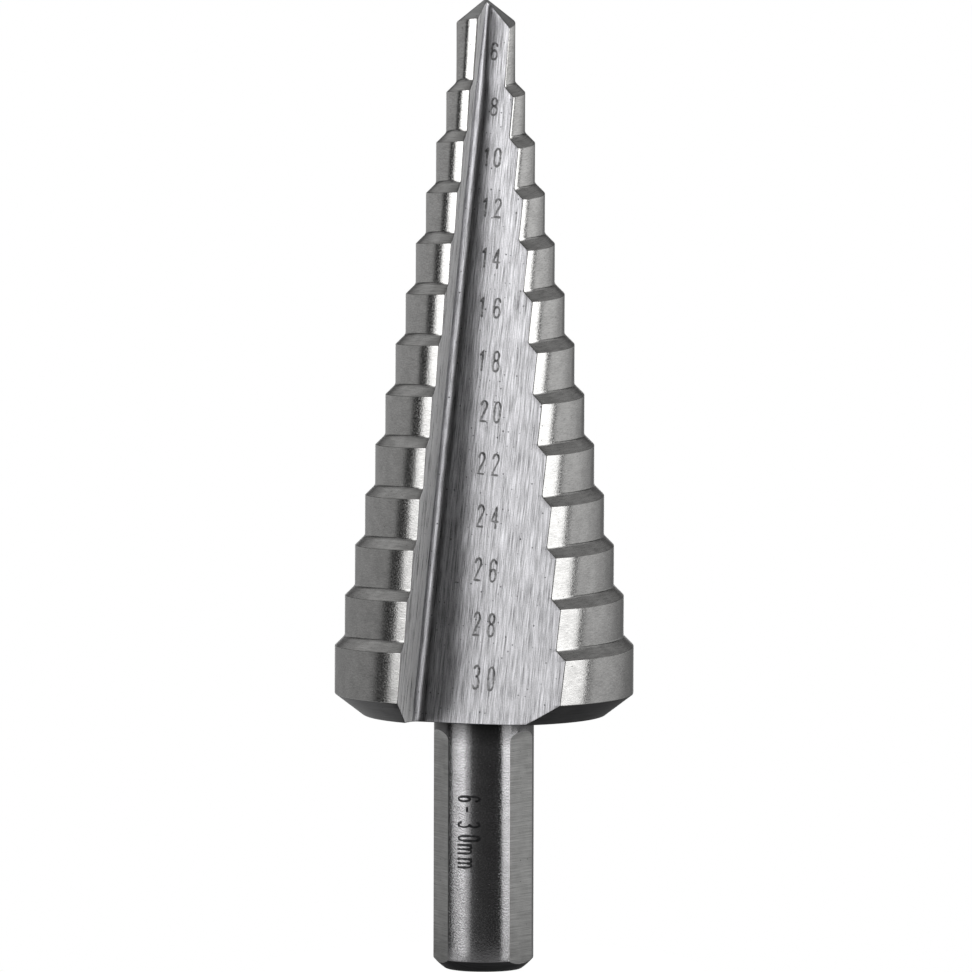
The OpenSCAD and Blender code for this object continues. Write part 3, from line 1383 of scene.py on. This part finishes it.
# The strokes of each figure, in a box of width 1 and height 1
GLYPHS: dict[str, list[Stroke]] = {
    "0": [bow(0.5, 0.7, 0.44, 0.3, 0, 180) + bow(0.5, 0.3, 0.44, 0.3, 180, 360) + [(0.94, 0.7)]],
    "1": [[(0.2, 0.78), (0.55, 1.0), (0.55, 0.0)]],
    "2": [bow(0.5, 0.76, 0.42, 0.24, 170, -25) + [(0.5 - 0.42, 0.0), (0.5 + 0.42, 0.0)]],
    "3": [bow(0.46, 0.77, 0.42, 0.23, 150, -80), bow(0.46, 0.27, 0.46, 0.27, 88, -150)],
    "4": [[(0.72, 0.0), (0.72, 1.0), (0.02, 0.3), (0.98, 0.3)]],
    "6": [bow(0.5, 0.72, 0.44, 0.28, 25, 180) + bow(0.5, 0.28, 0.44, 0.28, 180, 540)],
    "8": [bow(0.5, 0.77, 0.4, 0.23, -90, 270), bow(0.5, 0.27, 0.46, 0.27, 90, 450)],
    "-": [[(0.15, 0.42), (0.85, 0.42)]],
    "m": [[(0.0, 0.0), (0.0, 0.62)], bow(0.25, 0.44, 0.25, 0.18, 180, 0) + [(0.5, 0.0)],
          bow(0.75, 0.44, 0.25, 0.18, 180, 0) + [(1.0, 0.0)]],
}
# Each step's figures: their place along the root line, the one across the wall, and their spacing
GRADUATION_PLACES = (
    (-5.2, 1.35, 0.0), (-10.7, 1.93, 0.0), (-15.7, 2.27, 1.18), (-20.7, 2.77, 1.35), (-25.7, 3.21, 1.3),
    (-30.6, 3.67, 1.65), (-35.9, 4.19, 1.55), (-40.9, 4.9, 1.5), (-46.1, 5.25, 1.58), (-51.3, 5.75, 1.6),
    (-56.6, 6.1, 1.7), (-62.0, 6.53, 1.62), (-67.3, 7.09, 1.62),
)
# The range on the shank: each figure, its height on the axis and its width
RANGE_PLACES = (
    ("6", 17.45, 0.55), ("-", 16.4, 0.5), ("3", 14.85, 0.55), ("0", 13.5, 0.55), ("m", 12.4, 0.85),
    ("m", 11.0, 0.85),
)


@dataclass
class Marks:
    """The stamped figures: each step's diameter in both flutes, and the range on the shank.

    A stroke's end is drawn out by a share of half its width, and narrows in two steps.
    """

    flute: FluteForm
    first_size: int = 6
    size_step: int = 2
    stroke_w: float = 0.23
    depth: float = 0.05
    proud: float = 0.004
    figure_w: float = 0.72
    figure_h: float = 1.64
    figure_grow: float = 0.055
    shank_r: float = 5.0
    range_turn: float = -17.4
    range_h: float = 2.25
    uneven: float = 0.3
    end_out: float = 0.6
    end_widths: Span = (0.3, 0.8)
    points: list[np.ndarray] = field(default_factory=list)
    faces: list[tuple[int, ...]] = field(default_factory=list)
    ground: list[np.ndarray] = field(default_factory=list)

    def stroke(self, path: Stroke, width: float, height: float, lay: Lay) -> None:
        """Adds one stroke as a thin closed solid let into the steel.

        Args:
            path: the stroke's middle line, in the figure's box.
            width: the figure's width.
            height: its height.
            lay: places points of the flat figure and their depth on the steel.
        """
        line = self.finer(np.array(path) * [width, height])
        closed = np.linalg.norm(line[0] - line[-1]) < TOUCH
        half = self.stroke_w / 2
        chance = np.random.default_rng(len(self.points))
        widths = half * (1 + self.uneven * chance.uniform(-1, 1, len(line)))
        if closed:
            line, widths = line[:-1], widths[:-1]
            way = np.roll(line, -1, axis=0) - np.roll(line, 1, axis=0)
        else:
            first, last = half * unit(line[0] - line[1]), half * unit(line[-1] - line[-2])
            line = np.concatenate([[line[0] + first, line[0] + self.end_out * first], line,
                                   [line[-1] + self.end_out * last, line[-1] + last]])
            ends = half * np.array(self.end_widths)
            widths = np.concatenate([ends, widths, ends[::-1]])
            way = np.gradient(line, axis=0)
        side = unit(np.stack([-way[:, 1], way[:, 0]], axis=-1)) * widths[:, None]
        rails = []
        for way_out, level in ((1, self.proud), (-1, self.proud), (-1, -self.depth), (1, -self.depth)):
            rails.append(np.column_stack([line + way_out * side, np.full(len(line), level)]))
        flat = np.stack(rails, axis=1).reshape(-1, 3)
        self.tube(sum(len(p) for p in self.points), len(line), closed)
        self.points.append(lay(flat))
        self.ground.append(flat[:, :2])

    def tube(self, base: int, count: int, closed: bool) -> None:
        """Adds the faces of a stroke whose points lie on four rails.

        Args:
            base: the number of its first point.
            count: how many places it has along its line.
            closed: whether its line comes back to its start.
        """
        for j in range(count if closed else count - 1):
            here, there = base + 4 * j, base + 4 * ((j + 1) % count)
            for k in range(4):
                n = (k + 1) % 4
                self.faces.append((here + k, here + n, there + n, there + k))
        if not closed:
            end = base + 4 * (count - 1)
            self.faces.append((base + 3, base + 2, base + 1, base))
            self.faces.append((end, end + 1, end + 2, end + 3))

    def finer(self, line: np.ndarray) -> np.ndarray:
        """A stroke's line with points added where they are further apart than a stroke's width.

        Args:
            line: the points of the line.

        Returns:
            The points of the finer line.
        """
        pieces = []
        for here, there in zip(line[:-1], line[1:]):
            count = max(1, math.ceil(np.linalg.norm(there - here) / self.stroke_w))
            share = np.arange(count)[:, None] / count
            pieces.append(here + share * (there - here))
        return np.concatenate([*pieces, line[-1:]])

    def on_broad_wall(self, along: float, across: float, half: float) -> Lay:
        """A way to lay figures on a flute's broad wall.

        Args:
            along: the figures' place along the root line.
            across: their place across the wall.
            half: how far the flute is turned about the axis.

        Returns:
            The function that lays them.
        """
        flute, wall = self.flute, self.flute.wall(self.flute.broad)

        def lay(flat: np.ndarray) -> np.ndarray:
            """Lays flat points on the wall."""
            spot = flute.start + (along + flat[:, 1:2]) * flute.along + (across + flat[:, 0:1]) * wall
            return turned(spot - flat[:, 2:3] * flute.broad_normal, half)

        return lay

    def on_shank(self, height: float) -> Lay:
        """A way to lay figures round the shank, to be read from the head down.

        Args:
            height: the figures' height on the axis.

        Returns:
            The function that lays them.
        """

        def lay(flat: np.ndarray) -> np.ndarray:
            """Lays flat points round the shank."""
            turn = math.radians(self.range_turn - 90) + (flat[:, 1] - self.range_h / 2) / self.shank_r
            return polar(self.shank_r + flat[:, 2], turn, height - flat[:, 0])

        return lay

    def figure(self, letter: str, width: float, height: float, offset: list[float], lay: Lay) -> None:
        """Adds one figure.

        Args:
            letter: which figure.
            width: its width.
            height: its height.
            offset: how far it is moved before it is laid: across, up and in depth.
            lay: places points of the flat figure and their depth on the steel.
        """

        def moved(flat: np.ndarray) -> np.ndarray:
            """Moves flat points and lays them."""
            return lay(flat + np.array(offset))

        for path in GLYPHS[letter]:
            self.stroke(path, width, height, moved)

    def graduate(self, turn: float) -> None:
        """Adds each step's diameter to both flutes.

        Args:
            turn: how far the flutes' frame is turned about the axis.
        """
        for k, (along, across, gap) in enumerate(GRADUATION_PLACES):
            text = str(self.first_size + self.size_step * k)
            height = self.figure_h + k * self.figure_grow
            start = -(len(text) - 1) * gap / 2 - self.figure_w / 2
            for half in (turn, turn + math.pi):
                lay = self.on_broad_wall(along, across, half)
                for place, letter in enumerate(text):
                    self.figure(letter, self.figure_w, height, [start + place * gap, -height / 2, 0], lay)

    def build(self, turn: float, finishes: list[bpy.types.Material]) -> bpy.types.Object:
        """Builds all the figures as one piece.

        Args:
            turn: how far the flutes' frame is turned about the axis.
            finishes: the materials of the flutes' figures and of the shank's.

        Returns:
            The piece.
        """
        self.graduate(turn)
        on_flutes = len(self.faces)
        for letter, height, width in RANGE_PLACES:
            self.figure(letter, width, self.range_h, [-width / 2, 0, 0], self.on_shank(height))
        mesh = new_mesh("graduations", np.concatenate(self.points), self.faces, np.concatenate(self.ground))
        settle(mesh)
        for finish in finishes:
            mesh.materials.append(finish)
        for polygon in mesh.polygons[on_flutes:]:
            polygon.material_index = 1
        piece = put(mesh)
        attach(piece, BODY)
        return piece


# Where a Mix node keeps its share and its two colours, and where it gives their mixture
MIX_INPUTS = (0, 6, 7)
MIX_OUTPUT = 2


@dataclass(frozen=True)
class Softbox:
    """A tall soft lamp beside the camera, its plane upright and facing the bit."""

    name: str
    azimuth_from: float
    azimuth_to: float
    low: float
    high: float
    radiance: float
    distance: float = 0.8

    def build(self) -> None:
        """Makes the lamp."""
        middle = math.radians((self.azimuth_from + self.azimuth_to) / 2)
        half = math.radians((self.azimuth_to - self.azimuth_from) / 2)
        lamp = bpy.data.lights.new(self.name, "AREA")
        lamp.shape = "RECTANGLE"
        lamp.size = 2 * self.distance * math.tan(half)
        lamp.size_y = self.high - self.low
        lamp.energy = self.radiance * math.pi * lamp.size * lamp.size_y
        holder = put(lamp)
        out = Vector((math.sin(middle), -math.cos(middle), 0))
        holder.location = out * self.distance + Vector((0, 0, (self.low + self.high) / 2))
        holder.rotation_euler = out.to_track_quat("Z", "Y").to_euler()
        holder.visible_camera = False
        LOG.info("%s: %.2f by %.2f m", self.name, lamp.size, lamp.size_y)


@dataclass
class Studio:
    """The pale floor, the white world with its grey sides, and the lamps.

    Each ring of greys is a row of azimuths in degrees, from the camera's side, with their levels. A
    span of slants gives the heights of a look upward between which one ring passes into the next.
    """

    floor_r: float = 0.022
    floor_sides: int = 128
    floor_white: float = 0.4
    floor_rough: float = 0.9
    shadow_share: float = 0.2
    floor_glow: float = 0.05
    floor_fill: float = 1.24
    backdrop: Levels = (
        (-180, 0.9), (-173, 0.9), (-170, 0.23), (-95, 0.23), (-92, 0.01), (-76, 0.01), (-43, 0.85),
        (-34, 0.62), (-29, 0.12), (-14, 0.05), (0, 0.04), (40, 0.015), (86, 0.01), (89, 0.02), (91, 0.48),
        (113, 0.45), (140, 0.2), (170, 0.12), (173, 0.9), (180, 0.9),
    )
    upper: Levels = ((-180, 0.37), (-118, 0.37), (-95, 0.05), (95, 0.05), (118, 0.22), (180, 0.25))
    upper_slants: Span = (0.3, 0.5)
    collar: float = 0.04
    collar_slants: tuple[Span, Span] = ((0.04, 0.12), (0.2, 0.3))
    lower: Levels = (
        (-180, 0.4), (-110, 0.3), (-80, 0.08), (42, 0.06), (52, 0.5), (86, 0.5), (94, 0.3), (110, 0.3),
        (135, 0.25), (155, 0.1), (180, 0.2),
    )
    lower_slants: Span = (-0.17, -0.12)
    softboxes: tuple[Softbox, ...] = (
        Softbox("left_softbox", -77, -43, -0.06, 0.75, 1.48),
        Softbox("right_softbox", 43, 83.5, -0.08, 0.75, 1.68),
        Softbox("left_card", -168, -96, -0.035, 0.08, 0.06),
        Softbox("right_card", 92, 150, -0.035, 0.08, 0.12),
    )

    def build(self) -> None:
        """Makes the floor, the world and the lamps."""
        self.build_floor()
        self.build_world()
        for softbox in self.softboxes:
            softbox.build()

    def build_floor(self) -> None:
        """Makes a small round floor that keeps the shadow and looks white from afar."""
        mesh = bpy.data.meshes.new("floor")
        work = bmesh.new()
        bmesh.ops.create_circle(work, cap_ends=True, segments=self.floor_sides, radius=self.floor_r)
        work.to_mesh(mesh)
        work.free()
        material = bpy.data.materials.new("floor_paper")
        material.use_nodes = True
        bench = Bench(material.node_tree)
        paper = material.node_tree.nodes["Principled BSDF"]
        paper.inputs["Base Color"].default_value = (self.floor_white,) * 3 + (1,)
        paper.inputs["Roughness"].default_value = self.floor_rough
        path = bench.add("LightPath")
        glow = bench.add("Emission", None, Color=(1, 1, 1, 1), Strength=self.floor_fill)
        seen = bench.math("MULTIPLY", path.outputs["Is Camera Ray"], 1 - self.shadow_share)
        mirrored = bench.math("MAXIMUM", path.outputs["Is Glossy Ray"], path.outputs["Is Transmission Ray"])
        share = bench.math("ADD", seen, bench.math("MULTIPLY", mirrored, self.floor_glow))
        mix = bench.add("MixShader", None, Fac=share)
        bench.feed(mix.inputs[1], paper.outputs[0])
        bench.feed(mix.inputs[2], glow.outputs[0])
        bench.feed(material.node_tree.nodes["Material Output"].inputs["Surface"], mix.outputs[0])
        mesh.materials.append(material)
        floor = put(mesh)
        LOG.info("floor: %.3f m across", 2 * self.floor_r)

    def build_world(self) -> None:
        """Makes a world that is white to look at, and grey round the sides where metal mirrors it."""
        world = bpy.data.worlds.new("studio")
        bpy.context.scene.world = world
        world.use_nodes = True
        bench = Bench(world.node_tree)
        sides = bench.add("SeparateXYZ", None, Vector=bench.add("TexCoord").outputs["Generated"])
        slant = sides.outputs["Z"]
        front = bench.math("MULTIPLY", sides.outputs["Y"], -1.0)
        turn = bench.math("ARCTAN2", sides.outputs["X"], front)
        place = bench.spread(turn, -math.pi, math.pi, 0.0, 1.0)
        high = bench.spread(slant, *self.upper_slants, 0.0, 1.0)
        begin, end = self.collar_slants
        collar = bench.math("MULTIPLY", bench.spread(slant, *begin, 0.0, 1.0),
                            bench.spread(slant, *end, 1.0, 0.0))
        low = bench.spread(slant, *self.lower_slants, 1.0, 0.0)
        tone = self.ramp(bench, place, self.backdrop)
        tone = self.blend(bench, high, tone, self.ramp(bench, place, self.upper))
        tone = self.blend(bench, collar, tone, self.collar)
        tone = self.blend(bench, low, tone, self.ramp(bench, place, self.lower))
        tone = self.blend(bench, bench.add("LightPath").outputs["Is Camera Ray"], tone, 1.0)
        background = world.node_tree.nodes["Background"]
        bench.feed(background.inputs["Color"], tone)
        background.inputs["Strength"].default_value = 1.0

    def ramp(self, bench: Bench, place: Socket, levels: Levels) -> Socket:
        """A ring of greys.

        Args:
            bench: the world's nodes.
            place: the way round, from 0 to 1.
            levels: azimuths in degrees with their levels.

        Returns:
            The grey.
        """
        ramp = bench.add("ValToRGB", None, Fac=place)
        stops = ramp.color_ramp.elements
        # A new ramp has its first two stops already
        for k, (azimuth, level) in enumerate(levels):
            spot = (azimuth + 180) / 360
            stop = stops[k] if k < 2 else stops.new(spot)
            stop.position = spot
            stop.color = (level, level, level, 1)
        return ramp.outputs["Color"]

    def blend(self, bench: Bench, share: Socket, tone: Socket, other: Socket | float) -> Socket:
        """A tone mixed with another tone, or with a plain grey.

        Args:
            bench: the world's nodes.
            share: how much of the other tone there is.
            tone: the tone.
            other: the other tone or the grey's level.

        Returns:
            The mixed tone.
        """
        mix = bench.add("Mix", {"data_type": "RGBA"})
        plain = (other, other, other, 1) if isinstance(other, float) else other
        for spot, value in zip(MIX_INPUTS, (share, tone, plain)):
            bench.feed(mix.inputs[spot], value)
        return mix.outputs[MIX_OUTPUT]


@dataclass
class Camera:
    """The photograph's camera: far off, a little above the bit and looking slightly down."""

    view_width: float = 97.0
    distance: float = 1500.0
    elevation: float = math.radians(4.9)
    roll: float = math.radians(0.16)
    aim_x: float = 0.135
    aim_z: float = 48.36
    sensor: float = 36.0
    clip: Span = (0.05, 20.0)

    def build(self) -> bpy.types.Object:
        """Places the camera and makes it the scene's.

        Returns:
            The camera.
        """
        data = bpy.data.cameras.new("photo_camera")
        data.sensor_width = self.sensor
        data.lens = self.sensor * self.distance / self.view_width
        data.clip_start, data.clip_end = self.clip
        camera = put(data)
        back = Vector((0, -math.cos(self.elevation), math.sin(self.elevation)))
        camera.location = (Vector((self.aim_x, 0, self.aim_z)) + back * self.distance) * MM
        camera.rotation_mode = "QUATERNION"
        camera.rotation_quaternion = Quaternion(back, self.roll) @ back.to_track_quat("Z", "Y")
        bpy.context.scene.camera = camera
        return camera


def main() -> None:
    """Builds the bit, its marks, the studio and the camera."""
    logging.basicConfig(level=logging.INFO, format="%(name)s: %(message)s")
    finishes = [FINISHES[kind].material() for kind in Surface]
    drill = DrillBit()
    bit = drill.build(finishes[:Surface.MARK])
    LOG.info("%s: %d faces after the flats", bit.name, len(bit.data.polygons))
    marks = Marks(drill.flute).build(drill.land_turn, finishes[Surface.MARK:])
    LOG.info("%s: %d faces", marks.name, len(marks.data.polygons))
    Studio().build()
    camera = Camera().build()
    LOG.info("%s: %.0f mm lens", camera.name, camera.data.lens)
    bpy.context.scene.view_settings.view_transform = "Standard"


if __name__ == "__main__":
    main()
